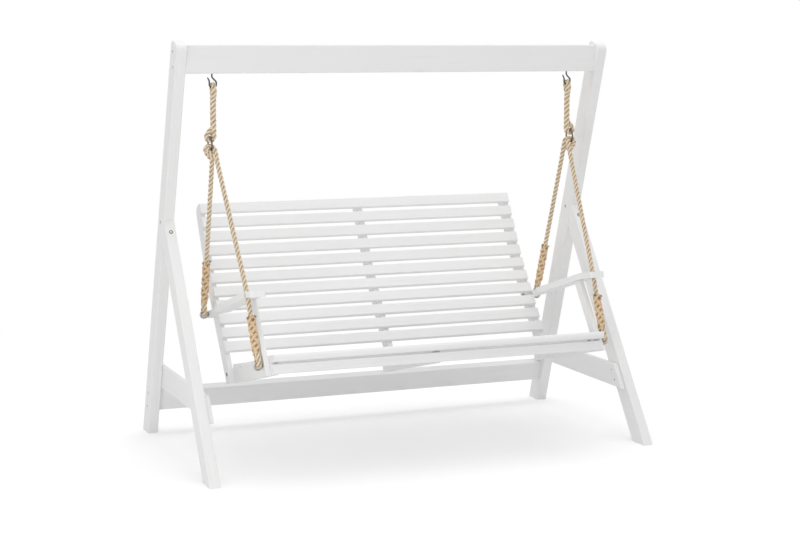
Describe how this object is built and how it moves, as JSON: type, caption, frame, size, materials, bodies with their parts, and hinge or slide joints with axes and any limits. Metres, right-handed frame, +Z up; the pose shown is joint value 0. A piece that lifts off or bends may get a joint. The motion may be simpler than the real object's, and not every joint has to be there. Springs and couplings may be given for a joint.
{
  "type": "porch swing seat",
  "caption": "Slatted wooden bench with a reclined back and sloping armrests, hung by spliced ropes from hooks in the beam of a free-standing A-shaped timber stand.",
  "frame": {"origin": "on the floor, in the middle of the stand's footprint", "axes": "+X along the top beam to the right of someone who faces the front, +Y to the rear, +Z up"},
  "size_m": [2, 1.1621, 1.763],
  "materials": {
    "painted_pine": "white painted planed softwood",
    "zinc_steel": "dull zinc-plated steel",
    "rope": "laid brown rope"
  },
  "bodies": {
    "stand": {"left_post": "painted_pine", "right_post": "painted_pine", "left_leg": "painted_pine", "right_leg": "painted_pine", "left_side_rail": "painted_pine", "right_side_rail": "painted_pine", "left_hook": "zinc_steel", "right_hook": "zinc_steel", "rear_rail": "painted_pine", "top_beam": "painted_pine"},
    "left_hanger": {"left_upper_rope": "rope"},
    "right_hanger": {"right_upper_rope": "rope"},
    "bench": {"rings": "zinc_steel", "left_front_rope": "rope", "right_front_rope": "rope", "left_rear_rope": "rope", "right_rear_rope": "rope", "left_upright": "painted_pine", "centre_upright": "painted_pine", "right_upright": "painted_pine", "left_bearer": "painted_pine", "centre_bearer": "painted_pine", "right_bearer": "painted_pine", "left_armrest": "painted_pine", "right_armrest": "painted_pine", "left_arm_post": "painted_pine", "right_arm_post": "painted_pine", "back_slat_1": "painted_pine", "back_slat_2": "painted_pine", "back_slat_3": "painted_pine", "back_slat_4": "painted_pine", "back_slat_5": "painted_pine", "back_slat_6": "painted_pine", "back_slat_7": "painted_pine", "back_slat_8": "painted_pine", "back_slat_9": "painted_pine", "back_slat_10": "painted_pine", "back_slat_11": "painted_pine", "seat_slat_1": "painted_pine", "seat_slat_2": "painted_pine", "seat_slat_3": "painted_pine", "seat_slat_4": "painted_pine", "seat_slat_5": "painted_pine", "seat_slat_6": "painted_pine", "seat_slat_7": "painted_pine", "seat_slat_8": "painted_pine", "nose_slat": "painted_pine", "apron": "painted_pine", "eye_bolts": "zinc_steel", "eye_bolt_nuts": "zinc_steel"}
  },
  "joints": [
    {"name": "left_rope_swing", "type": "hinge", "parent": "stand", "child": "left_hanger", "pos_m": [-0.83, -0.043, 1.565], "axis": [1, 0, 0], "range_deg": [-20, 20]},
    {"name": "right_rope_swing", "type": "hinge", "parent": "stand", "child": "right_hanger", "pos_m": [0.83, -0.043, 1.565], "axis": [1, 0, 0], "range_deg": [-20, 20]},
    {"name": "bench_tilt", "type": "hinge", "parent": "left_hanger", "child": "bench", "pos_m": [-0.8443, -0.043, 1.331], "axis": [1, 0, 0], "range_deg": [-8, 8]}
  ],
  "couplings": [
    {"joint": "right_rope_swing", "follows": "left_rope_swing", "ratio": 1}
  ]
}
